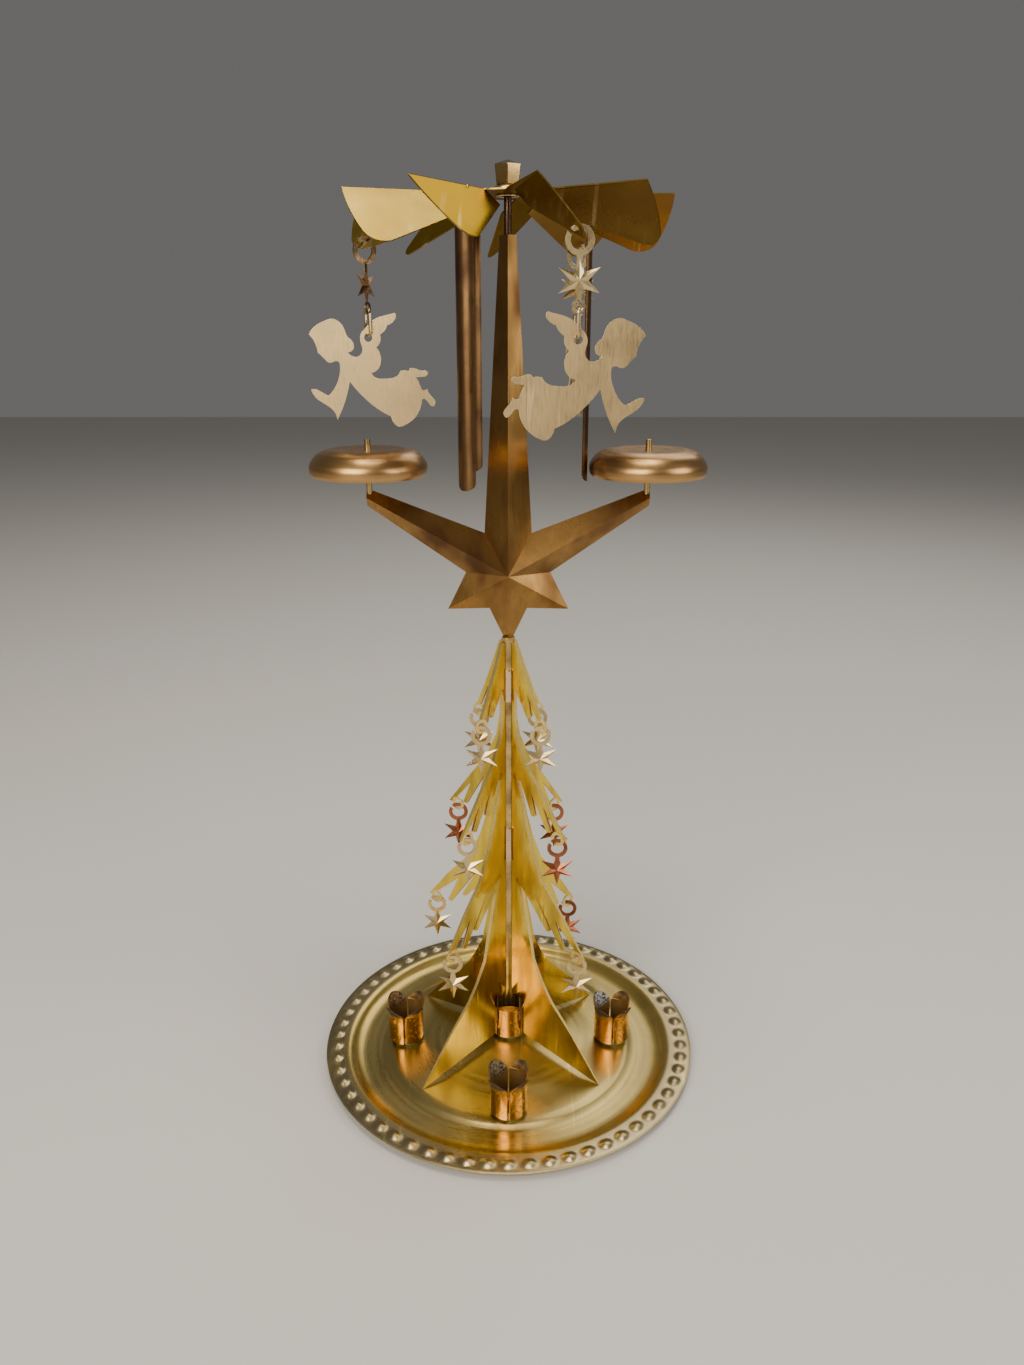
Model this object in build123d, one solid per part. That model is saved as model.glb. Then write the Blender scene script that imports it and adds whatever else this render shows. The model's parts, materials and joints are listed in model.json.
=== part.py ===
from build123d import *
import os
from math import asin, cos, degrees, hypot, radians, sin

# An angel chime. Candle heat turns the bladed rotor on its needle, and the strikers that
# hang from the rotor ring the two bells. The axis is Z, the front is -Y, and the plate
# stands at z = 0. An azimuth is in degrees from the front towards +X.

# Fits shared by the whole part
seat_gap = 0.05        # between pieces that are fixed to each other
hang_gap = 0.35        # between a hung piece and the rim that it hangs from
overrun = 1.0          # how far a cutter reaches past what it cuts

# Plate: a pressed tray, its middle raised off the floor
plate_radius = 72.5
plate_sheet = 0.45
rim_height = 3.0       # underside of the rim's flange
rim_width = 9.2
rim_slope = 3.3        # across the well's sloping wall
well_width = 12.4      # flat ring that stands on the floor
step_height = 1.3      # underside of the raised middle, above the rivets' lower heads
cup_margin = 6.3       # from the cups' circle to each edge of the raised ring
dome_top_radius = 12.0
dome_height = 4.6      # underside of the dome's top
bead_count = 60
bead_margin = 3.9      # from the plate's edge to the beads' middles
bead_radius = 2.0
bead_height = 0.9

# Cups: split sockets with four petals
cup_count = 4
cup_radius = 6.75
cup_sheet = 0.4
cup_wall_height = 13.6
cup_height = 17.5
cup_flare = 1.7        # how far a petal's lobe leans out
cup_slit = 1.2
cup_corner = 1.3       # the petals' cut lower corners
cup_fold = 1.6         # bevel between floor and wall, which keeps a candle off the rivet

# Rivets of the outer cups
rivet_radius = 1.0
rivet_head_radius = 1.9
rivet_head_height = 0.8
rivet_crown_share = 0.6        # a head's flat top, as a share of its radius

# Mast
post_radius = 2.3
post_top = 171.0
post_rivet_radius = 1.1
spigot_radius = 0.75
spigot_length = 13.0

# Tree fins: a folded sheet with its ridge outwards
fin_sheet = 0.4
fin_half_width = 0.9   # between the mid-plane and a wall's inner edge
fin_closing_radius = 60.0      # where a fin's two walls would meet
fin_azimuths = {"tree_fin_1": 51.0, "tree_fin_2": -47.0, "tree_fin_3": -128.0, "tree_fin_4": 129.0}
spine_radius = 3.4     # ridge of the narrow strip that joins the tiers
spine_low = 24.5
spine_high = 168.5
socket_gap = 1.6       # between the centre socket's wall and a fin
tab_thickness = 0.5
tab_radius = 2.7
tab_hole_radius = 1.6
finger_tip = 0.8       # half the width of a finger's end

# Each tier: its ridge from the top down, and its lower edge from the outside in.
# A lower edge goes from a finger's end to the top of the slot beside it, in turn.
top_ridge = [(3.4, 169.4), (7.2, 160.0), (11.2, 150.9), (17.1, 138.8)]
top_edge = [(9.2, 151.5), (9.8, 142.8), (4.0, 152.0)]
middle_ridge = [(3.4, 141.0), (4.9, 133.0), (9.8, 122.4), (16.0, 114.3), (26.6, 99.3)]
middle_edge = [(16.2, 110.6), (19.2, 100.5), (10.4, 115.0), (12.2, 104.8), (6.4, 117.5)]
low_ridge = [
    (3.4, 123.0), (5.8, 113.4), (9.2, 98.6), (11.7, 90.4), (16.4, 79.2), (26.8, 66.5), (35.8, 53.6),
]
low_edge = [(22.0, 66.0), (26.2, 54.0), (12.8, 74.0), (19.6, 59.3), (7.0, 74.0)]
foot_ridge = [
    (3.4, 91.0), (6.3, 75.2), (9.9, 57.1), (12.6, 43.6), (16.6, 35.5), (21.0, 28.7), (30.5, 18.6),
    (44.2, 1.9),
]
foot_edge = [(7.0, 8.6)]
tab_places = [(14.6, 140.6), (22.8, 99.0), (32.6, 53.2)]

# How far each fin's tiers are bent out, as shares of the first fin's
tier_spread_shares = {
    "tree_fin_1": (1.0, 1.0, 1.0, 1.0),
    "tree_fin_2": (0.88, 0.88, 0.86, 1.0),
    "tree_fin_3": (0.93, 1.1, 1.16, 1.0),
    "tree_fin_4": (0.93, 1.0, 0.94, 1.0),
}

# Tabs that lock the fins' seams, on the mast's front and back
seam_tab_width = 1.9
seam_tab_thickness = 0.5
seam_tab_spans = [(147.4, 159.0), (83.5, 97.0)]

# Stars with a ring
star_radius = 6.7
star_valley_radius = 2.5
star_depth = 1.3
star_sheet = 0.4
ring_sheet = 0.5
ring_gap = 1.0
ring_gap_azimuth = 50.0
stem_width = 1.7
tree_ring_radius = 3.7
tree_ring_width = 1.4
tree_star_drop = 8.5   # from the ring's centre to the star's
hanger_ring_radius = 4.1
hanger_ring_width = 1.5
hanger_star_drop = 10.4

# Star frame: two pressed halves with long arms
star_centre_height = 194.0
star_apex_depth = 7.0
star_frame_sheet = 0.45
star_arm_reach = 47.3
star_top_height = 300.5
side_tip = (66.3, 230.0)       # where the long arms' edges would meet
top_tip_height = 346.5
upper_corner = (8.0, 207.6)
side_corner = (14.5, 194.0)
lower_point = (20.9, 181.0)
lower_corner = (6.5, 181.3)
bottom_tip_height = 167.4

# Needle
needle_radius = 1.2
needle_hold = 16.5     # length held in the star frame's top arm
needle_reach = 12.5    # from the arm's end to the point's shoulder
needle_point_length = 5.5

# Bells and their pins
bell_pin_reach = 46.4
bell_pin_radius = 1.0
bell_pin_hold = 14.95  # from the pin's foot, in the arm, to its shoulder's foot
bell_pin_stub = 3.1    # how far the pin stands above the bell's crown
bell_pin_shoulder_radius = 1.7
bell_pin_shoulder_height = 1.2
bell_radius = 19.6
bell_rim_height = 227.0
bell_lip = 2.2         # height of the straight lip
bell_crown_radius = 14.5
bell_round_share = 0.29        # where the round shoulder's middle lies between crown and lip
bell_bevel_share = 0.7         # how far the sheet reaches in along each axis there
bell_height = 8.6      # from the rim to the crown's edge
bell_dish = 0.5
bell_sheet = 0.5
bell_running_gap = 0.08

# Rotor
rotor_hang = 6.5       # how far the flat sheet's middle hangs below the needle's tip
rotor_sheet = 0.4
blade_count = 9
first_blade_azimuth = 9.0
blade_radius = 51.0
blade_root_radius = 13.2
blade_angle = 28.0
blade_bend = 45.0
blade_rounding = 6.0
hub_radius = 14.0
spoke_width = 3.2
hang_hole_radius = 1.5
hang_hole_place = (17.6, 42.4)  # across from the raised edge, and along it
blade_loads = [
    "hanger_2", "none", "striker_2",
    "hanger_3", "none", "striker_3",
    "hanger_1", "none", "striker_1",
]

# Hub
collar_radius = 4.5
collar_height = 2.2
collar_neck_radius = 3.0
collar_lip_radius = 3.6
collar_lip_height = 0.6
collar_bevel_share = 0.3       # each bevel's height as a share of the collar's
collar_top_share = 0.8         # the top's radius as a share of the collar's
collar_bore_radius = 2.1
cap_foot_radius = 3.9
cap_crown_radius = 4.6
cap_height = 5.6
cap_peak = 1.5
cup_bore_radius = 1.9
cup_length = 3.4
point_play = 0.1       # between the needle's point and the bearing

# Strikers and their hooks
striker_radius = 26.3  # outer face
striker_width = 6.5
striker_depth = 1.7
striker_length = 80.0
striker_sheet = 0.4
striker_hole_radius = 1.4
striker_head = 1.8     # above the hole
striker_round_share = 0.45     # the ends' corner radius as a share of the width
hook_width = 1.6
hook_sheet = 0.6
hook_leg_radius = 23.0
hook_tip_radius = 28.4
hook_drop = 9.4
hook_tip_height = 1.3

# Hangers: eye under the star, link and angel
eye_radius = 1.9
eye_hole_radius = 1.1
link_length = 8.6
link_width = 3.6
link_wire = 0.7
angel_width = 40.4
angel_sheet = 0.5
angel_hole_radius = 1.3
ring_azimuths = {"1": 38.0, "2": 0.0, "3": -25.0}
star_azimuths = {"1": 69.0, "2": 0.0, "3": 0.0}
angel_azimuths = {"1": 0.0, "2": 0.0, "3": 75.0}
angel_facings = {"1": 1, "2": -1, "3": 1}

# The angel's outline as shares of its width, from the hole: across and up.
# Each stretch is one smooth curve.
angel_outline_shares = [
    [(-0.306, 0.140), (-0.228, 0.120), (-0.185, 0.062), (-0.168, 0.012), (-0.129, -0.025),
     (-0.118, -0.070), (-0.168, -0.111)],
    [(-0.168, -0.111), (-0.142, -0.136), (-0.103, -0.147), (-0.065, -0.128), (-0.049, -0.087),
     (-0.065, -0.021), (-0.052, 0.037), (-0.013, 0.078), (0.039, 0.128), (0.116, 0.161),
     (0.220, 0.186)],
    [(0.220, 0.186), (0.227, 0.161), (0.203, 0.120), (0.155, 0.095)],
    [(0.155, 0.095), (0.134, 0.054), (0.095, 0.025)],
    [(0.095, 0.025), (0.097, -0.021), (0.060, -0.074)],
    [(0.060, -0.074), (0.091, -0.128), (0.095, -0.169), (0.082, -0.219), (0.013, -0.268)],
    [(0.013, -0.268), (0.039, -0.301), (0.134, -0.313), (0.211, -0.297), (0.246, -0.256)],
    [(0.246, -0.256), (0.280, -0.248), (0.315, -0.256)],
    [(0.315, -0.256), (0.336, -0.231), (0.384, -0.242), (0.444, -0.246)],
    [(0.444, -0.246), (0.468, -0.271), (0.440, -0.297)],
    [(0.440, -0.297), (0.405, -0.300), (0.372, -0.303)],
    [(0.372, -0.303), (0.397, -0.351), (0.414, -0.400)],
    [(0.414, -0.400), (0.440, -0.402), (0.461, -0.392)],
    [(0.461, -0.392), (0.478, -0.433), (0.522, -0.507), (0.504, -0.528), (0.478, -0.516), (0.435, -0.470),
     (0.414, -0.474)],
    [(0.414, -0.474), (0.401, -0.540), (0.349, -0.623), (0.272, -0.676), (0.220, -0.689), (0.177, -0.656),
     (0.159, -0.606)],
    [(0.159, -0.606), (0.065, -0.557), (-0.039, -0.474), (-0.125, -0.384), (-0.164, -0.334)],
    [(-0.164, -0.334), (-0.185, -0.417), (-0.220, -0.516), (-0.280, -0.635)],
    [(-0.280, -0.635), (-0.341, -0.532), (-0.418, -0.483), (-0.478, -0.396)],
    [(-0.478, -0.396), (-0.444, -0.396), (-0.384, -0.425), (-0.341, -0.445)],
    [(-0.341, -0.445), (-0.297, -0.400), (-0.254, -0.318), (-0.237, -0.252), (-0.237, -0.194)],
    [(-0.237, -0.194), (-0.259, -0.177), (-0.315, -0.190), (-0.358, -0.161), (-0.409, -0.111)],
    [(-0.409, -0.111), (-0.427, -0.037), (-0.470, 0.025)],
    [(-0.470, 0.025), (-0.453, 0.054), (-0.384, 0.107), (-0.306, 0.140)],
]

# Heights and places that follow from the sizes above
rim_inner_radius = plate_radius - rim_width
well_radius = rim_inner_radius - rim_slope
step_radius = well_radius - well_width
cup_circle_radius = step_radius - cup_margin
dome_foot_radius = cup_circle_radius - cup_margin
bead_circle_radius = plate_radius - bead_margin
plate_top = step_height + plate_sheet
dome_top = dome_height + plate_sheet
socket_floor = dome_top + cup_sheet
fin_inner = post_radius + seat_gap
blade_azimuths = [first_blade_azimuth + 360 / blade_count * k for k in range(blade_count)]
bell_crown_height = bell_rim_height + bell_height
bell_pin_seat = bell_crown_height - bell_dish - bell_sheet - seat_gap
bell_pin_foot = bell_pin_seat - bell_pin_shoulder_height - bell_pin_hold
bell_pin_top = bell_crown_height + bell_pin_stub
needle_foot = star_top_height - needle_hold
needle_shoulder = star_top_height + needle_reach
needle_tip = needle_shoulder + needle_point_length
rotor_height = needle_tip - rotor_hang
collar_top = rotor_height + rotor_sheet / 2 + collar_height
bearing_floor = needle_tip + point_play


def spot(radius, azimuth, height=0):
    """The point at this radius, azimuth and height."""
    return (radius * sin(radians(azimuth)), -radius * cos(radians(azimuth)), height)


def revolved(*points):
    """A solid turned about Z from (radius, height) points."""
    outline = Polyline(*[(radius, 0, height) for radius, height in points], close=True)
    return revolve(make_face(outline), Axis.Z)


def front_face(*points):
    """A face in the XZ plane from (x, height) points."""
    return make_face(Polyline(*[(x, 0, height) for x, height in points], close=True))


def through(face, depth, direction):
    """The face pushed this far to both sides."""
    return extrude(face, amount=depth, dir=direction, both=True)


def plate():
    lower = [
        (0, dome_height),
        (dome_top_radius, dome_height),
        (dome_foot_radius, step_height),
        (step_radius, step_height),
        (step_radius + step_height, 0),
        (well_radius, 0),
        (rim_inner_radius, rim_height),
        (plate_radius, rim_height),
    ]
    upper = [(radius, height + plate_sheet) for radius, height in reversed(lower)]
    tray = revolved(*lower, *upper)
    ball_radius = (bead_radius ** 2 + bead_height ** 2) / (2 * bead_height)
    ball = Pos(0, 0, bead_height - ball_radius) * Sphere(ball_radius)
    dome = split(ball, Plane.XY, keep=Keep.TOP)
    places = [
        Pos(*spot(bead_circle_radius, 360 / bead_count * k, rim_height)) for k in range(bead_count)
    ]
    raised = Pos(0, 0, plate_sheet)
    tray = tray + [place * raised * dome for place in places]
    tray = tray - [place * dome for place in places]
    holes = [Pos(*spot(cup_circle_radius, azimuth)) * rivet_hole() for azimuth in cup_azimuths()]
    centre_hole = Cylinder(post_rivet_radius + seat_gap, 2 * dome_top + overrun)
    return tray - holes - centre_hole


def cup_azimuths():
    return [360 / cup_count * k for k in range(cup_count)]


def rivet_hole():
    return Cylinder(rivet_radius + seat_gap, 2 * plate_top + overrun)


def cup(hole_radius):
    """A cup on z = 0 with its petals at the front, sides and back."""
    inner = cup_radius - cup_sheet
    tip = cup_radius + cup_flare
    shell = revolved(
        (0, 0),
        (cup_radius - cup_fold, 0),
        (cup_radius, cup_fold),
        (cup_radius, cup_wall_height),
        (tip, cup_height),
        (tip - cup_sheet, cup_height),
        (inner, cup_wall_height + cup_sheet / 2),
        (inner, cup_fold),
        (inner - cup_fold + cup_sheet, cup_sheet),
        (0, cup_sheet),
    )
    slit_angle = degrees(asin(cup_slit / 2 / cup_radius))
    half = cup_radius * sin(radians(45 - slit_angle))
    lobe = cup_height - cup_wall_height
    blade = front_face(
        (-half + cup_corner, 0),
        (half - cup_corner, 0),
        (half, cup_corner),
        (half, cup_wall_height),
        (-half, cup_wall_height),
        (-half, cup_corner),
    )
    round_end = Plane.XZ * Pos(0, cup_wall_height) * Ellipse(half, lobe)
    petal_prism = extrude(blade + round_end, amount=tip + overrun, dir=(0, -1, 0))
    prisms = [Rot(0, 0, 90 * k) * petal_prism for k in range(4)]
    floor = Pos(0, 0, cup_sheet / 2) * Cylinder(half, cup_sheet)
    petals = shell & (prisms[0] + prisms[1:])
    return petals + floor - Cylinder(hole_radius, 2 * cup_sheet + overrun)


def rivet():
    """A rivet whose shank ends at the plate's underside and at the cup's floor."""
    low = step_height - seat_gap
    high = plate_top + cup_sheet + seat_gap
    return revolved(
        (0, low - rivet_head_height),
        (rivet_head_radius * rivet_crown_share, low - rivet_head_height),
        (rivet_head_radius, low),
        (rivet_radius, low),
        (rivet_radius, high),
        (rivet_head_radius, high),
        (rivet_head_radius * rivet_crown_share, high + rivet_head_height),
        (0, high + rivet_head_height),
    )


def mast_post():
    low = dome_height - seat_gap
    foot = socket_floor + seat_gap
    return revolved(
        (0, low - rivet_head_height),
        (post_radius * rivet_crown_share, low - rivet_head_height),
        (post_radius, low),
        (post_rivet_radius, low),
        (post_rivet_radius, foot),
        (post_radius, foot),
        (post_radius, post_top),
        (spigot_radius, post_top),
        (spigot_radius, post_top + spigot_length),
        (0, post_top + spigot_length),
    )


def side_face(points):
    """A face in the fin's mid-plane from (radius, height) points."""
    return make_face(Polyline(*[(0, -radius, height) for radius, height in points], close=True))


def spread(points, share):
    """The points with their reach from the fin's inner edge scaled by a share."""
    return [(fin_inner + (radius - fin_inner) * share, height) for radius, height in points]


def finger_end(index, radius, height):
    """A slot's top as one point, and a finger's end as two."""
    if index % 2 == 0:
        return [(radius, height)]
    return [(radius + finger_tip, height + finger_tip / 2), (radius - finger_tip, height)]


def tier_face(ridge, edge, inset):
    """One tier from the side, with its fingers, its ridge drawn in by the inset."""
    outline = [(radius - inset, height) for radius, height in ridge]
    tip_radius, tip_height = outline[-1]
    if len(edge) > 1:
        outline.append((tip_radius - 2 * finger_tip, tip_height))
    for index, (radius, height) in enumerate(edge):
        outline += finger_end(index, radius, height)
    outline += [(fin_inner, edge[-1][1]), (fin_inner, outline[0][1])]
    return side_face(outline)


def fin_side(shares, inset):
    """All tiers of a fin from the side, with the strip that joins them."""
    ridges = (top_ridge, middle_ridge, low_ridge, foot_ridge)
    edges = (top_edge, middle_edge, low_edge, foot_edge)
    faces = [
        tier_face(spread(ridge, share), spread(edge, share), inset)
        for ridge, edge, share in zip(ridges, edges, shares)
    ]
    reach = spine_radius - inset
    spine = [(fin_inner, spine_low), (reach, spine_low), (reach, spine_high), (fin_inner, spine_high)]
    return side_face(spine) + faces


def fin_wedge(half_width, apex):
    """The wedge between a fin's walls, over the whole height."""
    face = make_face(
        Polyline((-half_width, -fin_inner, 0), (half_width, -fin_inner, 0), (0, -apex, 0), close=True)
    )
    return extrude(face, amount=post_top)


def fin(shares):
    """A folded fin with its ridge towards the front, open towards the mast."""
    reach = fin_closing_radius - fin_inner
    slope = hypot(reach, fin_half_width)
    side = fin_sheet * slope / reach
    fold = fin_sheet * slope / fin_half_width
    outer = fin_wedge(fin_half_width, fin_closing_radius)
    inner = fin_wedge(fin_half_width - side, fin_closing_radius - fold)
    width = fin_half_width + overrun
    body = outer & through(fin_side(shares, 0), width, (1, 0, 0))
    body = body - (inner & through(fin_side(shares, 2 * fin_sheet), width, (1, 0, 0)))
    for tab_spot, share in zip(tab_places, shares):
        radius, height = tab_place(tab_spot, share)
        place = Pos(0, -radius, height) * Rot(0, 90, 0)
        tab = Cylinder(tab_radius, tab_thickness)
        pinch = Cylinder(tab_radius, 2 * width) - tab
        body = body - place * pinch + place * tab - place * Cylinder(tab_hole_radius, 2 * width)
    socket = Cylinder(cup_radius + socket_gap, 2 * spine_low)
    return body - socket


def tab_place(tab_spot, share):
    """The middle of a tier's tab hole, as (radius, height)."""
    return spread([tab_spot], share)[0]


def seam_tabs():
    """Four bars against the mast, two in front and two behind."""
    bars = []
    for low, high in seam_tab_spans:
        reach = post_radius + seat_gap + seam_tab_thickness / 2
        bar = Box(seam_tab_width, seam_tab_thickness, high - low)
        for side in (-1, 1):
            bars.append(Pos(0, side * reach, (low + high) / 2) * bar)
    return bars


def star_body():
    """A six-pointed pressed star about the origin, facing the front."""
    points = []
    for k in range(12):
        radius = star_radius if k % 2 == 0 else star_valley_radius
        points.append((radius * sin(radians(30 * k)), radius * cos(radians(30 * k))))
    solid = loft([front_face(*points), Vertex(0, -star_depth, 0)], ruled=True)
    return solid - Pos(0, star_sheet, 0) * solid


def pendant(ring_radius, ring_width, drop, ring_turn, star_turn, eye):
    """A star under its ring, with the point that it swings about at the origin."""
    inner = ring_radius - ring_width
    centre = hang_gap - inner
    ring = extrude(Plane.XZ * (Circle(ring_radius) - Circle(inner)), amount=ring_sheet / 2, both=True)
    gap = Pos(0, 0, ring_radius) * Box(ring_gap, 2 * ring_sheet, 2 * ring_width + overrun)
    ring = Pos(0, 0, centre) * (ring - Rot(0, -ring_gap_azimuth, 0) * gap)
    star_height = centre - drop
    star = Pos(0, 0, star_height) * star_body()
    stem_top = centre - inner - ring_width / 2
    stem_low = star_height + star_valley_radius / 2
    stem = Pos(0, 0, (stem_top + stem_low) / 2) * Box(stem_width, ring_sheet, stem_top - stem_low)
    piece = Rot(0, 0, ring_turn) * ring + Rot(0, 0, star_turn) * (star + stem)
    if not eye:
        return piece
    eye_height = star_height - star_radius
    disc = Plane.XZ * Pos(0, eye_height) * Circle(eye_radius)
    hole = Plane.XZ * Pos(0, eye_height) * Circle(eye_hole_radius)
    piece = piece + Rot(0, 0, star_turn) * extrude(disc, amount=star_sheet)
    return piece - Rot(0, 0, star_turn) * through(hole, star_depth + overrun, (0, 1, 0))


def star_half():
    """The front half of the star frame: a thin shell, open at the back."""
    side_x, side_z = side_tip
    right = [
        (0, top_tip_height),
        upper_corner,
        (side_x, side_z),
        side_corner,
        lower_point,
        lower_corner,
        (0, bottom_tip_height),
    ]
    left = [(-x, z) for x, z in reversed(right[1:-1])]
    apex = Vertex(0, -star_apex_depth, star_centre_height)
    solid = loft([front_face(*right, *left), apex], ruled=True)
    shell = solid - Pos(0, star_frame_sheet, 0) * solid
    low = post_top + seat_gap
    height = star_top_height - low
    window = Pos(0, 0, low + height / 2) * Box(2 * star_arm_reach, 4 * star_apex_depth, height)
    shell = shell & window
    spigot = Pos(0, 0, low) * Cylinder(spigot_radius + seat_gap, 2 * (spigot_length + seat_gap))
    rod = Pos(0, 0, star_top_height) * Cylinder(
        needle_radius + seat_gap, 2 * (star_top_height - needle_foot + seat_gap)
    )
    pins = [
        Pos(side * bell_pin_reach, 0, (bell_pin_foot + bell_pin_top) / 2)
        * Cylinder(bell_pin_radius + seat_gap, bell_pin_top - bell_pin_foot + 2 * seat_gap)
        for side in (-1, 1)
    ]
    return shell - spigot - rod - pins


def needle():
    return revolved(
        (0, needle_foot),
        (needle_radius, needle_foot),
        (needle_radius, needle_shoulder),
        (0, needle_tip),
    )


def bell_post():
    """A bell's pin on the axis, with the shoulder that the bell rests on."""
    return revolved(
        (0, bell_pin_foot),
        (bell_pin_radius, bell_pin_foot),
        (bell_pin_radius, bell_pin_seat - bell_pin_shoulder_height),
        (bell_pin_shoulder_radius, bell_pin_seat - bell_pin_shoulder_height),
        (bell_pin_shoulder_radius, bell_pin_seat),
        (bell_pin_radius, bell_pin_seat),
        (bell_pin_radius, bell_pin_top),
        (0, bell_pin_top),
    )


def bell():
    """A shallow bell on the axis, round at the shoulder and dished at the crown."""
    hole = bell_pin_radius + bell_running_gap
    lip_top = bell_rim_height + bell_lip
    middle = (
        bell_radius - (bell_radius - bell_crown_radius) * bell_round_share,
        bell_crown_height - (bell_crown_height - lip_top) * bell_round_share,
    )
    outer = bell_profile(bell_radius, lip_top, middle, bell_crown_radius, bell_crown_height)
    bevel = bell_sheet * bell_bevel_share
    inner_middle = (middle[0] - bevel, middle[1] - bevel)
    inner_top = bell_crown_height - bell_sheet
    inner = bell_profile(bell_radius - bell_sheet, lip_top, inner_middle, bell_crown_radius, inner_top)
    shell = revolve(outer, Axis.Z) - revolve(inner, Axis.Z)
    depth = 2 * bell_sheet + 2 * bell_dish + overrun
    return shell - Pos(0, 0, bell_crown_height) * Cylinder(hole, depth)


def bell_profile(radius, lip_top, middle, crown_radius, crown_height):
    """Half the section of a bell's outer or inner face, closed along the axis."""
    lines = [
        Line((0, 0, bell_rim_height), (radius, 0, bell_rim_height)),
        Line((radius, 0, bell_rim_height), (radius, 0, lip_top)),
        ThreePointArc((radius, 0, lip_top), (middle[0], 0, middle[1]), (crown_radius, 0, crown_height)),
        Line((crown_radius, 0, crown_height), (0, 0, crown_height - bell_dish)),
        Line((0, 0, crown_height - bell_dish), (0, 0, bell_rim_height)),
    ]
    return make_face(lines)


def blade(has_hole):
    """A bent blade with its raised edge towards the front."""
    inner = blade_root_radius
    outer = blade_radius
    middle = spot(outer, blade_angle / 2)
    outline = [
        Line(spot(inner, 0), spot(outer, 0)),
        ThreePointArc(spot(outer, 0), middle, spot(outer, blade_angle)),
        Line(spot(outer, blade_angle), spot(inner, blade_angle)),
        Line(spot(inner, blade_angle), spot(inner, 0)),
    ]
    face = make_face(outline)
    corner = face.vertices().sort_by_distance(spot(outer, blade_angle))[0]
    face = fillet(corner, radius=blade_rounding)
    sheet = extrude(face, amount=rotor_sheet / 2, both=True)
    if has_hole:
        across, along = hang_hole_place
        sheet = sheet - Pos(across, -along, 0) * Cylinder(hang_hole_radius, 2 * rotor_sheet)
    spoke = make_face(
        Polyline(
            (rotor_sheet / 2, -hub_radius / 2, 0),
            (-spoke_width, -hub_radius / 2, 0),
            (0, -blade_radius, 0),
            (rotor_sheet / 2, -blade_radius + rotor_sheet, 0),
            close=True,
        )
    )
    return Rot(0, blade_bend, 0) * sheet + extrude(spoke, amount=rotor_sheet / 2, both=True)


def hook():
    """The tongue that a striker hangs from, under the sheet's middle plane."""
    bar_middle = -hook_drop
    leg = Pos(0, -hook_leg_radius, bar_middle / 2) * Box(hook_width, hook_sheet, hook_drop + hook_sheet)
    bar_length = hook_tip_radius - hook_leg_radius
    bar = Pos(0, -hook_leg_radius - bar_length / 2, bar_middle) * Box(
        hook_width, bar_length + hook_sheet, hook_sheet
    )
    tip = Pos(0, -hook_tip_radius, bar_middle + hook_tip_height / 2) * Box(
        hook_width, hook_sheet, hook_tip_height + hook_sheet
    )
    return leg + bar + tip


def rotor():
    """The turning sheet: a hub, nine bent blades and three hooks."""
    sheet = Cylinder(hub_radius, rotor_sheet)
    for azimuth, load in zip(blade_azimuths, blade_loads):
        sheet = sheet + Rot(0, 0, azimuth) * blade(load.startswith("hanger"))
        if load.startswith("striker"):
            sheet = sheet + Rot(0, 0, azimuth) * hook()
    sheet = sheet - Cylinder(collar_neck_radius + seat_gap, 2 * rotor_sheet)
    return Pos(0, 0, rotor_height) * sheet


def hub_collar():
    sheet_top = rotor_height + rotor_sheet / 2 + seat_gap
    sheet_low = rotor_height - rotor_sheet / 2 - seat_gap
    return revolved(
        (collar_bore_radius, sheet_low - collar_lip_height),
        (collar_lip_radius, sheet_low - collar_lip_height),
        (collar_lip_radius, sheet_low),
        (collar_neck_radius, sheet_low),
        (collar_neck_radius, sheet_top),
        (collar_radius, sheet_top + collar_height * collar_bevel_share),
        (collar_radius, collar_top - collar_height * collar_bevel_share),
        (collar_radius * collar_top_share, collar_top),
        (collar_bore_radius, collar_top),
    )


def hub_cap():
    """A six-sided cap that widens upwards and ends in a low point."""
    low = collar_top + seat_gap
    high = low + cap_height
    foot = Plane.XY.offset(low) * RegularPolygon(cap_foot_radius, 6, rotation=30)
    crown = Plane.XY.offset(high) * RegularPolygon(cap_crown_radius, 6, rotation=30)
    barrel = loft([foot.face(), crown.face()], ruled=True)
    peak = loft([crown.face(), Vertex(0, 0, high + cap_peak)], ruled=True)
    bore = Pos(0, 0, low) * Cylinder(
        cup_bore_radius + seat_gap, 2 * (bearing_floor + overrun - low + seat_gap)
    )
    return barrel + peak - bore


def bearing_cup():
    """A short plug with a cone in it that takes the needle's point."""
    top = bearing_floor + overrun
    low = top - cup_length
    mouth = needle_radius + 2 * point_play
    return revolved(
        (mouth, low),
        (cup_bore_radius, low),
        (cup_bore_radius, top),
        (0, top),
        (0, bearing_floor),
    )


def striker():
    """A trough-shaped strip hung by its hole, its bulge towards the front."""
    chord = striker_width / 2
    outer_radius = (chord ** 2 + striker_depth ** 2) / (2 * striker_depth)
    inner_radius = outer_radius - striker_sheet
    ring = Circle(outer_radius) - Circle(inner_radius)
    keep = Pos(0, -outer_radius + striker_depth / 2) * Rectangle(striker_width, striker_depth)
    strip = extrude(ring & keep, amount=-striker_length)
    outline = Plane.XZ * Pos(0, -striker_length / 2) * RectangleRounded(
        striker_width, striker_length, striker_width * striker_round_share
    )
    strip = strip & through(outline, 2 * outer_radius, (0, 1, 0))
    strip = Pos(0, outer_radius - striker_radius, striker_head) * strip
    hole = Rot(90, 0, 0) * Cylinder(striker_hole_radius, 4 * striker_radius)
    return strip - Pos(0, 0, -striker_hole_radius) * hole


def striker_hinge(azimuth):
    """Where a striker hangs: on top of its hook's bar, over the strip's own weight."""
    radius = -striker().center(CenterOf.MASS).Y
    height = rotor_height - hook_drop + hook_sheet / 2 + hang_gap
    return spot(radius, azimuth, height)


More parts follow.
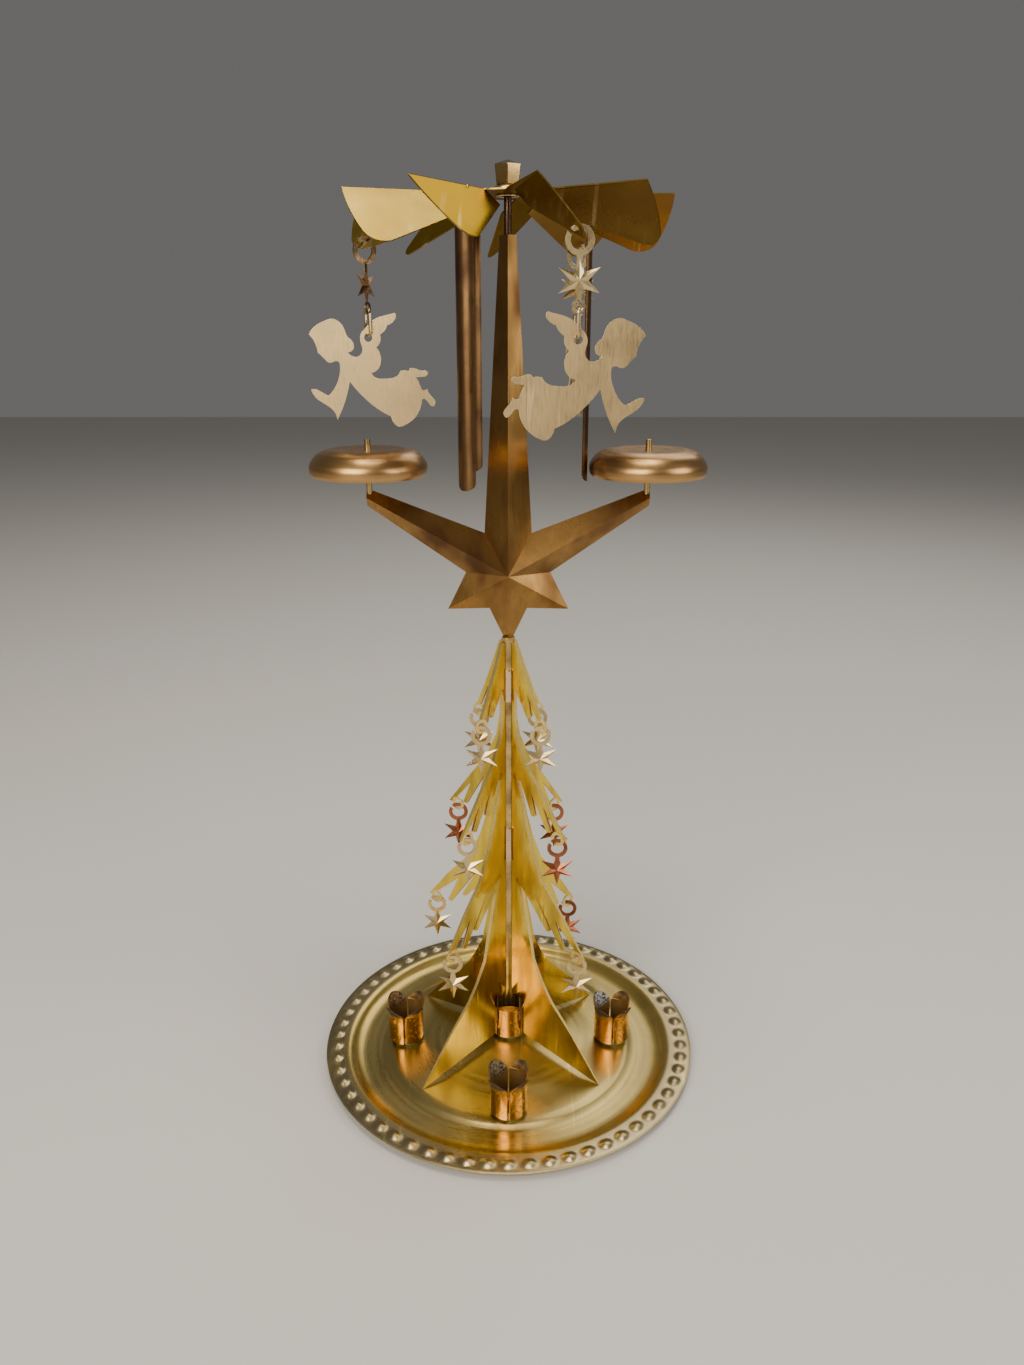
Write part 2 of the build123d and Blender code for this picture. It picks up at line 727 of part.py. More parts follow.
def hanger_hinge(azimuth, ring_azimuth):
    """Where a ring bears on the rim of the hole in a bent blade."""
    across, along = hang_hole_place
    bend = radians(blade_bend)
    middle = Vector(across * cos(bend), -along, -across * sin(bend))
    normal = Vector(sin(bend), 0, cos(bend))
    turn = radians(azimuth)
    ring_line = Vector(cos(radians(ring_azimuth) - turn), sin(radians(ring_azimuth) - turn), 0)
    ring_normal = ring_line.cross(Vector(0, 0, 1))
    down = normal.cross(ring_normal).normalized()
    if down.Z > 0:
        down = -down
    point = middle + down * hang_hole_radius
    place = Pos(0, 0, rotor_height) * Rot(0, 0, azimuth) * Pos(*point)
    return Pos(*place.position)


def link():
    """A flat wire loop in the YZ plane, hung from the origin."""
    outer = Plane.YZ * SlotOverall(link_length, link_width, rotation=90)
    inner_length = link_length - 2 * link_wire
    inner_width = link_width - 2 * link_wire
    inner = Plane.YZ * SlotOverall(inner_length, inner_width, rotation=90)
    loop = extrude(outer - inner, amount=link_wire / 2, both=True)
    return Pos(0, 0, hang_gap + link_wire - link_length / 2) * loop


def angel(facing):
    """A flat angel hung by the hole in its wing, flying left (1) or right (-1)."""
    stretches = []
    for shares in angel_outline_shares:
        points = [(facing * x * angel_width, 0, z * angel_width) for x, z in shares]
        stretches.append(Spline(*points))
    sheet = extrude(make_face(stretches), amount=angel_sheet / 2, dir=(0, 1, 0), both=True)
    hole = Rot(90, 0, 0) * Cylinder(angel_hole_radius, 4 * angel_sheet)
    sheet = sheet - hole
    return Pos(0, 0, -angel_hole_radius) * sheet


def tree_star_place(azimuth, tab_spot, share):
    """Where a tree star bears on the rim of its tab's hole."""
    radius, height = tab_place(tab_spot, share)
    return spot(radius, azimuth, height - tab_hole_radius)


nodes = {"plate": plate()}
for name, azimuth in zip(("cup_front", "cup_right", "cup_back", "cup_left"), cup_azimuths()):
    place = Pos(*spot(cup_circle_radius, azimuth, plate_top)) * Rot(0, 0, 45)
    nodes[name] = place * cup(rivet_radius + seat_gap)
nodes["centre_socket"] = Pos(0, 0, dome_top) * cup(post_rivet_radius + seat_gap)
nodes["cup_rivets"] = [Pos(*spot(cup_circle_radius, azimuth)) * rivet() for azimuth in cup_azimuths()]
nodes["mast_post"] = mast_post()
for name, azimuth in fin_azimuths.items():
    nodes[name] = Rot(0, 0, azimuth) * fin(tier_spread_shares[name])
nodes["seam_tabs"] = seam_tabs()
nodes["star_front"] = star_half()
nodes["star_back"] = mirror(nodes["star_front"], Plane.XZ)
nodes["needle"] = needle()
for name, side in (("left", -1), ("right", 1)):
    nodes["bell_post_" + name] = Pos(side * bell_pin_reach, 0, 0) * bell_post()
    nodes["bell_" + name] = Pos(side * bell_pin_reach, 0, 0) * bell()
nodes["rotor"] = rotor()
nodes["hub_collar"] = hub_collar()
nodes["hub_cap"] = hub_cap()
nodes["bearing_cup"] = bearing_cup()

# Tree stars, counted fin by fin from the top tier down
tree_star = pendant(tree_ring_radius, tree_ring_width, tree_star_drop, 0, 0, False)
tree_star_hinges = {}
for name, azimuth in fin_azimuths.items():
    for tab_spot, share in zip(tab_places, tier_spread_shares[name]):
        label = f"tree_star_{len(tree_star_hinges) + 1:02d}"
        tree_star_hinges[label] = tree_star_place(azimuth, tab_spot, share)
        nodes[label] = Pos(*tree_star_hinges[label]) * tree_star

# Strikers, and hangers of a star, link and angel, each hung from the one above
striker_hinges = {}
hanger_hinges = {}
for azimuth, load in zip(blade_azimuths, blade_loads):
    number = load[-1]
    if load.startswith("striker"):
        striker_hinges[load] = striker_hinge(azimuth)
        nodes[load] = Pos(0, 0, striker_hinges[load][2]) * Rot(0, 0, azimuth) * striker()
    if load.startswith("hanger"):
        ring_turn = ring_azimuths[number]
        star_turn = star_azimuths[number]
        angel_turn = angel_azimuths[number]
        top = hanger_hinge(azimuth, ring_turn)
        star = pendant(
            hanger_ring_radius, hanger_ring_width, hanger_star_drop, ring_turn, star_turn, True
        )
        star_drop = hanger_ring_radius - hanger_ring_width - hang_gap + hanger_star_drop + star_radius
        link_top = Pos(0, 0, -star_drop - eye_hole_radius) * top
        link_drop = link_length - 2 * link_wire - 2 * hang_gap
        angel_top = Pos(0, 0, -link_drop) * link_top
        link_turn = (star_turn + angel_turn) / 2
        nodes["hanger_star_" + number] = top * star
        nodes["link_" + number] = link_top * Rot(0, 0, link_turn) * link()
        nodes["angel_" + number] = angel_top * Rot(0, 0, angel_turn) * angel(angel_facings[number])
        hanger_hinges[number] = (top.position, link_top.position, angel_top.position)

os.makedirs("parts", exist_ok=True)
for name, solid in nodes.items():
    shape = Compound(children=solid) if isinstance(solid, list) else solid
    export_step(shape, f"parts/{name}.step")
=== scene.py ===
import json
from math import atan2, cos, pi, radians, sqrt, tau

import bpy
from bpy.props import FloatProperty, FloatVectorProperty, IntProperty, PointerProperty
from bpy.types import Operator, Panel, PropertyGroup
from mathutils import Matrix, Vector


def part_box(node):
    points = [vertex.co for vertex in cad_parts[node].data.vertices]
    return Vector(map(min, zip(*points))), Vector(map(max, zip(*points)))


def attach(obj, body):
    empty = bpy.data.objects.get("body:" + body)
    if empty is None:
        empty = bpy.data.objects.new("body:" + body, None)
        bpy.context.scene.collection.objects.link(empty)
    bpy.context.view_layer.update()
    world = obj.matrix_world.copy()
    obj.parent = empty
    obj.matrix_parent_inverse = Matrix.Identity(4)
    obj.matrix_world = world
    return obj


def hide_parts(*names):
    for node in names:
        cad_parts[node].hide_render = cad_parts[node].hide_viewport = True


bl_info = {
    "name": "Angel chime",
    "version": (1, 0, 0),
    "blender": (4, 5, 0),
    "location": "View3D > Sidebar > Angel chime",
    "description": "Dresses the packed frame of an angel chime in its finished metal",
    "category": "Object",
}

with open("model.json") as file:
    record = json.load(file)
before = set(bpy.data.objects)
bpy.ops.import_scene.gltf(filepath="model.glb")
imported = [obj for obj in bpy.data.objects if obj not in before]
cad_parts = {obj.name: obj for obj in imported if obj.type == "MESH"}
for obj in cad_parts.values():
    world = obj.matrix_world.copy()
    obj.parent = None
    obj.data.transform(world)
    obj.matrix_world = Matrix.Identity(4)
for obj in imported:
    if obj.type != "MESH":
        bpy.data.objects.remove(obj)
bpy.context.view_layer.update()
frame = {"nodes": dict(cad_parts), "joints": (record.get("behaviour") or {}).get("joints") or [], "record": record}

MM = 0.001
WELD = 0.00001          # corners nearer than this are one corner
FLAT_ANGLE = 1          # degrees between the facets of one face, at most
SHARP_ANGLE = 35        # degrees between two faces that meet in an edge, at least
BELL_SHARP_ANGLE = 50   # the same on a bell, whose section has fewer faces
EDGE_STEPS = 2          # faces across a rounded edge

# Section of the plate's underside from the middle out: radius, and height above the floor,
# in millimetres. The frame gives the last point's radius.
plate_section = (
    (0, 4.6), (12.0, 4.6), (35.0, 1.3), (47.6, 1.3), (48.9, 0), (60.0, 0), (63.3, 3.0),
    (66.0, 3.0), (71.6, 3.0),
)
PLATE_EDGE_HEIGHT = 2.75
RING_PITCH = 0.6 * MM   # between the rings of faces on the beaded rim
RIM_START = 62 * MM     # radius where these fine rings begin
FLOOR_RING = 4          # inside of it, every fourth ring is kept
FACES_PER_BEAD = 12

# Section of a bell. Each height is the drop from the crown, or the rise from the rim.
BELL_FACES = 96
BELL_HOLE = 1.1 * MM
BELL_DISH = 0.5 * MM
BELL_FLAT_RADIUS = 8.0 * MM
BELL_FLAT_DROP = 0.3 * MM
BELL_CROWN_SHARE = 0.68     # of the bell's radius
BELL_SHOULDER_SHARE = 0.88
BELL_SHOULDER_DROP = 1.5 * MM
BELL_SIDE_DROP = 5.0 * MM
BELL_LIP_INSET = 0.2 * MM
BELL_LIP_RISE = 0.9 * MM
BELL_RIM_INSET = 0.7 * MM
BELL_SLANT_SHARE = 0.75     # of the sheet's thickness, along each axis of the upper part
BELL_ROUNDING = 2.4 * MM
BELL_ROUNDING_STEPS = 6

# Where the finishes change, measured from the middle of a piece's foot
GOLDEN_RADII = (57.0 * MM, 60.0 * MM)
PALE_RADII = (63.2 * MM, 65.2 * MM)
BAND_DRIFT = 0.8 * MM       # how far the plate's bands stray in and out
SOOT_HEIGHTS = (11.5 * MM, 16.5 * MM)
SOOT_DRIFT = 3.5 * MM       # how far the soot's edge strays up and down
SOOT_RADII = (6.55 * MM, 6.3 * MM)
CRUST_HEIGHTS = (1.8 * MM, 0.4 * MM)
WAX_PLACE = (-3.6 * MM, 4.6 * MM, 15.0 * MM)
WAX_REACH = 4.6 * MM
WAX_CORE = 3.22 * MM        # nearer than this to its place, the wax is whole

# Upward part of a blade's normal, where the painted shade of the underside starts and where it is full
UNDERSIDE_SHADE_SLOPES = (0.05, -0.25)

# Spans of a noise's value: first the shared ones, from nearly all of it to its peaks, and then those of the
# painted shade under the rotor and of what is on the cups
BROAD = (0.3, 0.7)
CLOUDY = (0.35, 0.7)
PATCHY = (0.42, 0.66)
TARNISHED = (0.42, 0.68)
WORN = (0.45, 0.7)
MESSY = (0.52, 0.72)
SPECKLED = (0.6, 0.72)
UNDERSIDE_SHADE_PATCHES = (0.25, 0.6)
CRUST_PATCHES = (0.46, 0.58)
WAX_FLECKS = (0.4, 0.6)
CUP_SPECKS = (0.62, 0.72)

SPECK_SCALE = 9         # times the scale of the patches
WAVE_SCALE = 45         # noise per metre of the broad relief
RING_GLOSS = (-0.04, 0.05)  # what the lathe rings add to the roughness
DULL_SHARE = 0.6        # of the light colour, in the duller grain of an edge's painted highlight and rubbed wear
SCRATCH_TURNS = ((0.3, 0.2, 0.4), (0.1, 0.5, 1.9), (0.6, 0.1, 2.9))
SCRATCH_STRETCH = (1, 0.02, 0.05)
SCRATCH_LINES = (0.70, 0.74)    # span of the noise that shows, less the amount of scratches
SCRATCH_PATCHES = (0.45, 0.62)  # span of the noise that gathers them
SCRATCH_PATCH_SCALE = 60
SCRATCH_SCALE = 260
SCRATCH_DEPTH = -0.00003
SCRATCH_BRIGHTNESS = 1.35   # of the light colour
SCRATCH_SHARE = 0.35

# Wax left on one petal of each cup
wax_colours = {
    "front": (0.20, 0.14, 0.07), "right": (0.42, 0.41, 0.39), "back": (0.16, 0.12, 0.08),
    "left": (0.24, 0.13, 0.05), "centre": (0.20, 0.14, 0.07),
}
CUP_SOOTINESS = 0.95
SOCKET_SOOTINESS = 0.35

# How many of each there are, numbered from 1
FINS = 4
TREE_STARS = 12
STRIKERS = 3
CHAINS = 3

# Numbers of the tree's stars that are tinted copper red
copper_stars = (2, 8, 11, 12)

FLOOR_SIZE = 6
FLOOR_COLOUR = (0.62, 0.60, 0.57, 1)
FLOOR_ROUGHNESS = 0.8
WORLD_COLOUR = (0.42, 0.41, 0.40, 1)
WORLD_STRENGTH = 0.34
LIGHT_AIM = (0, 0, 0.16)

# Each light's name, place, size, power and colour
studio_lights = (
    ("key_light", (-0.45, -0.95, 0.70), 0.8, 15, (1.0, 0.92, 0.80)),
    ("fill_light", (0.85, -0.45, 0.55), 0.6, 5, (1.0, 0.95, 0.88)),
    ("back_light", (0.35, 0.75, 1.0), 0.7, 3.5, (1.0, 0.96, 0.9)),
    ("top_light", (0.0, -0.1, 1.2), 0.5, 6, (1.0, 0.93, 0.82)),
)

CAMERA_PLACE = (0.0013, -0.345, 0.274)
CAMERA_DOWN = 19.2      # degrees below the level
CAMERA_LENS = 27.03
SENSOR_WIDTH = 36
CLIP_START = 0.01

body_names = {
    node: body for body, nodes in frame["record"]["behaviour"]["bodies"].items() for node in nodes
}
joints = {joint["child"]: joint for joint in frame["joints"]}


def length(name, description, default):
    """A length in metres, as a property with its default given in millimetres."""
    return FloatProperty(
        name=name, description=description, default=default * MM, min=0, unit="LENGTH", precision=5
    )


def colour(name, description, red, green, blue):
    return FloatVectorProperty(
        name=name, description=description, default=(red, green, blue), min=0, max=1, size=3,
        subtype="COLOR",
    )


class ChimeSizes(PropertyGroup):
    """Sizes of what is modelled here. The rest comes from the frame."""

    sheet_rounding: length("Sheet rounding", "Radius of the worn edges of thin sheet", 0.09)
    fold_rounding: length("Fold rounding", "Radius of the tree's and the star frame's folds", 0.2)
    turned_rounding: length("Turned rounding", "Radius of the edges of turned pieces", 0.2)
    cut_width: length("Cut width", "Faces of the tree as narrow as this are bright", 1.75)
    plate_sheet: length("Plate sheet", "Thickness of the plate", 0.45)
    crease_radius: length("Crease radius", "Radius of the plate's pressed creases", 1.4)
    bead_circle: length("Bead circle", "Radius of the circle that the beads stand on", 68.7)
    bead_length: length("Bead length", "Half of a bead, measured towards the plate's middle", 2.7)
    bead_width: length("Bead width", "Half of a bead, measured along the rim", 3.4)
    bead_height: length("Bead height", "Height of a pressed bead", 0.9)
    bead_count: IntProperty(name="Beads", description="Beads around the rim", default=60, min=3)
    bell_sheet: length("Bell sheet", "Thickness of a bell", 0.5)


class ChimeColours(PropertyGroup):
    """Colours of the metals, each with its tarnish."""

    plate: colour("Plate", "Olive brass of the plate's floor", 0.56, 0.43, 0.15)
    plate_rim: colour("Plate rim", "Paler brass of the plate's rim", 0.50, 0.40, 0.21)
    plate_wall: colour("Plate wall", "Golden brass of the wall of the well", 0.70, 0.50, 0.13)
    plate_tarnish: colour("Plate tarnish", "Dull patches of the plate", 0.38, 0.28, 0.12)
    cup: colour("Cup", "Orange brass of the candle cups", 0.70, 0.36, 0.08)
    # Painted highlight with rubbed wear on the cups' rounded edges
    cup_edge: colour("Cup edge", "Bright edges of the candle cups", 0.92, 0.66, 0.30)
    soot: colour("Soot", "Candle soot on the cups", 0.018, 0.012, 0.009)
    crust: colour("Crust", "Pale green crust at the foot of the cups", 0.50, 0.56, 0.47)
    mast: colour("Mast", "Dull gold brass of the upright", 0.60, 0.44, 0.17)
    tree: colour("Tree", "Bright yellow brass of the tree", 0.84, 0.61, 0.07)
    tree_tarnish: colour("Tree tarnish", "Amber streaks on the tree", 0.36, 0.22, 0.025)
    # Painted highlight with rubbed wear on the tree's edges; the plate's scratches take it too
    tree_edge: colour("Tree edge", "Bright edges of the tree", 1.0, 0.76, 0.26)
    seam: colour("Seam", "Pinkish brass of the tree's seam bars", 0.72, 0.52, 0.30)
    bronze: colour("Bronze", "Brown bronze of the star frame", 0.36, 0.20, 0.06)
    bronze_dark: colour("Dark bronze", "Dark patches of the star frame", 0.085, 0.038, 0.016)
    # Painted highlight with rubbed wear on the star frame's edges
    bronze_edge: colour("Bronze edge", "Coppery edges of the star frame", 0.62, 0.33, 0.17)
    bell: colour("Bell", "Copper bronze of the bells", 0.46, 0.275, 0.11)
    bell_dark: colour("Dark bell", "Dark patches of the bells", 0.24, 0.13, 0.05)
    rotor: colour("Rotor", "Yellow brass of the rotor", 0.33, 0.23, 0.05)
    # Painted shade: the rotor's blades take this dark colour where they face down; the collar takes it as tarnish.
    rotor_shade_and_tarnish: colour("Dark rotor", "Smoked underside of the rotor", 0.17, 0.10, 0.03)
    rotor_glance: colour("Rotor glance", "Rotor's brass seen at a low angle", 0.76, 0.57, 0.33)
    # Painted highlight with rubbed wear on the blades' edges; the rotor's scratches take it too
    rotor_edge: colour("Rotor edge", "Bright edges of the blades", 0.95, 0.80, 0.42)
    cap: colour("Cap", "Gold brown brass of the cap", 0.60, 0.40, 0.15)
    stamped: colour("Stamped brass", "Pale brass of the small stars", 0.70, 0.54, 0.28)
    stamped_dark: colour("Dark stamped brass", "Dull patches of the small stars", 0.36, 0.26, 0.14)
    aged: colour("Aged brass", "Brown brass of one hanger", 0.27, 0.17, 0.085)
    angel: colour("Angel", "Pale tan brass of the angels", 0.60, 0.44, 0.22)
    angel_dark: colour("Dark angel", "Dull grain of the angels", 0.38, 0.27, 0.13)
    # Painted highlight with rubbed wear on the angels' cut edges
    angel_edge: colour("Angel edge", "Bright cut edges of the angels", 0.92, 0.80, 0.56)
    copper: colour("Copper", "Copper red of four small stars", 0.40, 0.14, 0.07)
    copper_dark: colour("Dark copper", "Dark patches of the copper stars", 0.14, 0.045, 0.025)
    striker: colour("Striker", "Brown brass of the strikers", 0.19, 0.105, 0.045)
    striker_dark: colour("Dark striker", "Dark patches of the strikers", 0.065, 0.035, 0.02)
    steel: colour("Steel", "Browned steel of the needle and its bearing", 0.09, 0.055, 0.035)


def deselect():
    bpy.ops.object.select_all(action="DESELECT")


def edit(piece):
    """Makes the piece the only one that is selected, and opens it in edit mode."""
    deselect()
    bpy.context.view_layer.objects.active = piece
    piece.select_set(True)
    bpy.ops.object.mode_set(mode="EDIT")
    bpy.ops.mesh.select_all(action="SELECT")


def close_edit():
    bpy.ops.object.mode_set(mode="OBJECT")


def apply_modifier(piece, kind, **settings):
    modifier = piece.modifiers.new(kind.lower(), kind)
    for name, value in settings.items():
        setattr(modifier, name, value)
    bpy.context.view_layer.objects.active = piece
    bpy.ops.object.modifier_apply(modifier=modifier.name)


def round_edges(piece, radius):
    """Rounds the sharp edges, and gives the new faces the second finish."""
    apply_modifier(
        piece, "BEVEL", width=radius, segments=EDGE_STEPS, limit_method="ANGLE",
        angle_limit=radians(SHARP_ANGLE), use_clamp_overlap=True, material=1,
    )


def shade(piece, angle=SHARP_ANGLE):
    """Smooth shading up to an angle, with the flats kept flat beside their round edges."""
    deselect()
    bpy.context.view_layer.objects.active = piece
    piece.select_set(True)
    bpy.ops.object.shade_smooth_by_angle(angle=radians(angle))
    apply_modifier(piece, "WEIGHTED_NORMAL", keep_sharp=True)


def thicken(piece, sheet):
    """Gives a skin its thickness, on the side that it faces."""
    apply_modifier(piece, "SOLIDIFY", thickness=sheet, offset=1, use_even_offset=True)


def mark_cuts(piece, width):
    """Gives the second finish, a painted highlight with rubbed wear, to the narrow faces, where the sheet was cut
    or folded.
    """
    mesh = piece.data
    for face in mesh.polygons:
        corners = [mesh.vertices[index].co for index in face.vertices]
        around = sum((a - b).length for a, b in zip(corners, corners[1:] + corners[:1]))
        # A long face has about twice its area over its outline as its width.
        if 2 * face.area < around * width:
            face.material_index = 1


def settle(piece, node, finish, edge=None):
    """Gives a piece its finishes and its body, in the place of a node."""
    slots = piece.data.materials
    if not slots:
        slots.append(finish)
    slots[0] = finish
    if len(slots) > 1:
        slots[1] = edge or finish
    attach(piece, body_names[node])
    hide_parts(node)


def finished_copy(node, name, radius):
    """A copy of a node with its facets joined, its edges rounded and two empty slots."""
    piece = bpy.data.objects.new(name, frame["nodes"][node].data.copy())
    bpy.context.collection.objects.link(piece)
    edit(piece)
    bpy.ops.mesh.remove_doubles(threshold=WELD)
    bpy.ops.mesh.dissolve_limited(angle_limit=radians(FLAT_ANGLE))
    close_edit()
    bpy.ops.mesh.customdata_custom_splitnormals_clear()
    piece.data.materials.clear()
    for _ in range(2):
        piece.data.materials.append(None)
    round_edges(piece, radius)
    shade(piece)
    return piece


def draw_line(name, points):
    """A line through the points, left in edit mode and selected all over."""
    deselect()
    bpy.ops.mesh.primitive_plane_add(size=MM, location=(0, 0, 0))
    piece = bpy.context.object
    piece.name = name
    bpy.ops.object.mode_set(mode="EDIT")
    bpy.ops.mesh.select_all(action="SELECT")
    bpy.ops.mesh.merge(type="CENTER")
    bpy.ops.transform.translate(value=points[0])
    for before, after in zip(points, points[1:]):
        step = Vector(after) - Vector(before)
        bpy.ops.mesh.extrude_region_move(TRANSFORM_OT_translate={"value": step})
    bpy.ops.mesh.select_all(action="SELECT")
    return piece


def turned(name, profile, steps, centre=(0, 0)):
    """A skin turned about an upright axis from (radius, height) points."""
    x, y = centre
    points = [(x + radius, y, height) for radius, height in profile]
    piece = draw_line(name, points)
    bpy.ops.mesh.spin(steps=steps, angle=tau, center=(x, y, 0), axis=(0, 0, 1))
    bpy.ops.mesh.select_all(action="SELECT")
    bpy.ops.mesh.remove_doubles(threshold=WELD)
    bpy.ops.mesh.normals_make_consistent(inside=False)
    close_edit()
    return piece


def rounded(points, radius, steps=4):
    """The points with each inner corner made round."""
    result = [Vector(points[0])]
    for before, corner, after in zip(points, points[1:], points[2:]):
        corner = Vector(corner)
        back = Vector(before) - corner
        ahead = Vector(after) - corner
        reach = min(radius, back.length / 2, ahead.length / 2)
        start = corner + back.normalized() * reach
        end = corner + ahead.normalized() * reach
        for step in range(steps + 1):
            share = step / steps
            result.append(
                start * (1 - share) ** 2 + corner * 2 * share * (1 - share) + end * share ** 2
            )
    result.append(Vector(points[-1]))
    return result


def divided(points, pitch):
    """The points with long stretches divided to about this pitch."""
    result = [Vector(points[0])]
    for before, after in zip(points, points[1:]):
        stretch = Vector(after) - Vector(before)
        count = max(1, round(stretch.length / pitch))
        for step in range(1, count + 1):
            result.append(Vector(before) + stretch * step / count)
    return result


class Finish:
    """A metal made of nodes that read Object coordinates."""

    def __init__(self, name, centre=(0, 0, 0)):
        self.material = bpy.data.materials.new(name)
        self.material.use_nodes = True
        self.tree = self.material.node_tree
        self.shader = self.tree.nodes["Principled BSDF"]
        self.shader.inputs["Metallic"].default_value = 1
        source = self.tree.nodes.new("ShaderNodeTexCoord")
        self.place = self.add(
            "ShaderNodeMapping", Vector=source.outputs["Object"], Location=[-x for x in centre]
        ).outputs["Vector"]

    def add(self, kind, dimensions=None, **inputs):
        """A node with its inputs by name, or by number after a low line, as values or links."""
        node = self.tree.nodes.new(kind)
        if dimensions:
            node.noise_dimensions = dimensions
        for name, value in inputs.items():
            socket = node.inputs[int(name[1:])] if name[0] == "_" else node.inputs[name]
            if isinstance(value, bpy.types.NodeSocket):
                self.tree.links.new(value, socket)
            else:
                socket.default_value = value
        return node

    def math(self, operation, first, second=0.0):
        node = self.add("ShaderNodeMath", _0=first, _1=second)
        node.operation = operation
        return node.outputs[0]

    def noise(self, scale, stretch=(1, 1, 1), turn=(0, 0, 0), detail=4.0):
        """Noise of this scale per metre, stretched along an axis by a small share."""
        mapping = self.add("ShaderNodeMapping", Vector=self.place, Scale=stretch, Rotation=turn)
        node = self.add(
            "ShaderNodeTexNoise", Vector=mapping.outputs["Vector"], Scale=scale, Detail=detail
        )
        return node.outputs[0]

    def level(self, value, span, new_span=(0.0, 1.0)):
        """A span of the value, spread over a new span and held at its ends."""
        node = self.add("ShaderNodeMapRange", Value=value)
        limits = (*span, *new_span)
        for name, limit in zip(("From Min", "From Max", "To Min", "To Max"), limits):
            node.inputs[name].default_value = limit
        return node.outputs["Result"]

    def vary(self, value, noise, low, high):
        """The value, with low to high added to it as the noise goes."""
        return self.math("ADD", value, self.level(noise, BROAD, (low, high)))

    def blend(self, share, first, second):
        """One colour turning into the other. The node's colours are its inputs 6 and 7."""
        node = self.tree.nodes.new("ShaderNodeMix")
        node.data_type = "RGBA"
        for index, value in ((0, share), (6, first), (7, second)):
            socket = node.inputs[index]
            if isinstance(value, bpy.types.NodeSocket):
                self.tree.links.new(value, socket)
            elif index == 0:
                socket.default_value = value
            else:
                socket.default_value = (*value, 1)
        return node.outputs[2]

    def radius(self):
        """Distance from the upright axis through the centre."""
        parts = self.add("ShaderNodeSeparateXYZ", Vector=self.place).outputs
        across, along = (self.math("MULTIPLY", part, part) for part in parts[:2])
        return self.math("SQRT", self.math("ADD", across, along))

    def height(self):
        """Height above the centre."""
        return self.add("ShaderNodeSeparateXYZ", Vector=self.place).outputs[2]

    def rings(self, scale):
        """Fine rings about the upright axis, as a lathe leaves them."""
        node = self.add("ShaderNodeTexNoise", "1D", W=self.radius(), Scale=scale, Detail=3.0)
        return node.outputs[0]

    def spot(self, centre, core, reach):
        """One inside the core's distance from a point, falling to nothing at the reach."""
        away = self.add("ShaderNodeVectorMath", _0=self.place, _1=centre)
        away.operation = "DISTANCE"
        return self.level(away.outputs["Value"], (reach, core))

    def scratches(self, scale, amount):
        """Thin straight scratches in three directions."""
        peaks = [limit - amount for limit in SCRATCH_LINES]
        total = None
        for turn in SCRATCH_TURNS:
            streak = self.noise(scale, SCRATCH_STRETCH, turn, detail=2.0)
            line = self.level(streak, peaks)
            total = line if total is None else self.math("MAXIMUM", total, line)
        patches = self.noise(SCRATCH_PATCH_SCALE, detail=2.0)
        return self.math("MULTIPLY", total, self.level(patches, SCRATCH_PATCHES))

    def bump(self, value, depth, below=None):
        """A relief of this depth in metres, laid over the one below."""
        inputs = {"Height": value, "Distance": depth}
        if below is not None:
            inputs["Normal"] = below
        return self.add("ShaderNodeBump", **inputs).outputs["Normal"]

    def finish(self, tint, roughness, normal):
        """The finished material."""
        for name, output in (("Base Color", tint), ("Roughness", roughness), ("Normal", normal)):
            self.tree.links.new(output, self.shader.inputs[name])
        return self.material


def worn_metal(
    name, light, dark, patina, patch, roughness, patch_stretch=(1, 1, 1), patch_detail=8.0,
    grain=(1, 1, 1), grain_scale=900, grain_depth=0.00002, grain_tint=0.0, gloss=0.06,
    speckle=0.4, scratch=0.05, rings=0, wave=0.00012, centre=(0, 0, 0),
):
    """Metal with tarnished patches and a grain, and with specks, scratches or lathe rings.

    Patina, grain tint and speckle are shares of the dark colour. Patch, grain scale and rings
    are noise scales per metre. Gloss is how far the grain changes the roughness. Grain depth
    and wave are the depths of the fine and the broad relief in metres.
    """
    metal = Finish(name, centre)
    patches = metal.noise(patch, patch_stretch, detail=patch_detail)
    fine = metal.noise(grain_scale, grain, detail=3.0)
    tarnish = metal.level(patches, PATCHY, (0.0, patina))
    if speckle:
        specks = metal.noise(patch * SPECK_SCALE, detail=2.0)
        tarnish = metal.math("MAXIMUM", tarnish, metal.level(specks, SPECKLED, (0.0, speckle)))
    if grain_tint:
        streaks = metal.level(fine, PATCHY, (0.0, grain_tint))
        tarnish = metal.math("MAXIMUM", tarnish, streaks)
    tint = metal.blend(tarnish, light, dark)
    rough = metal.vary(metal.level(patches, CLOUDY, roughness), fine, -gloss, gloss)
    relief = fine
    if rings:
        relief = metal.rings(rings)
        rough = metal.vary(rough, relief, *RING_GLOSS)
    normal = metal.bump(relief, grain_depth)
    if scratch:
        lines = metal.scratches(SCRATCH_SCALE, scratch)
        bright = tuple(min(1, value * SCRATCH_BRIGHTNESS) for value in light)
        tint = metal.blend(metal.math("MULTIPLY", lines, SCRATCH_SHARE), tint, bright)
        normal = metal.bump(lines, SCRATCH_DEPTH, normal)
    normal = metal.bump(metal.noise(WAVE_SCALE, detail=1.0), wave, normal)
    return metal.finish(tint, rough, normal)


def rubbed_and_highlit_edge(name, light):
    """Painted highlight with rubbed wear, for the rounded edges of a piece."""
    metal = Finish(name)
    fine = metal.noise(scale=1500, detail=2.0)
    dull = tuple(value * DULL_SHARE for value in light)
    tint = metal.blend(metal.level(fine, WORN, (0.0, 0.7)), light, dull)
    rough = metal.level(fine, BROAD, (0.32, 0.5))
    return metal.finish(tint, rough, metal.bump(fine, depth=0.00001))


finishes = {}


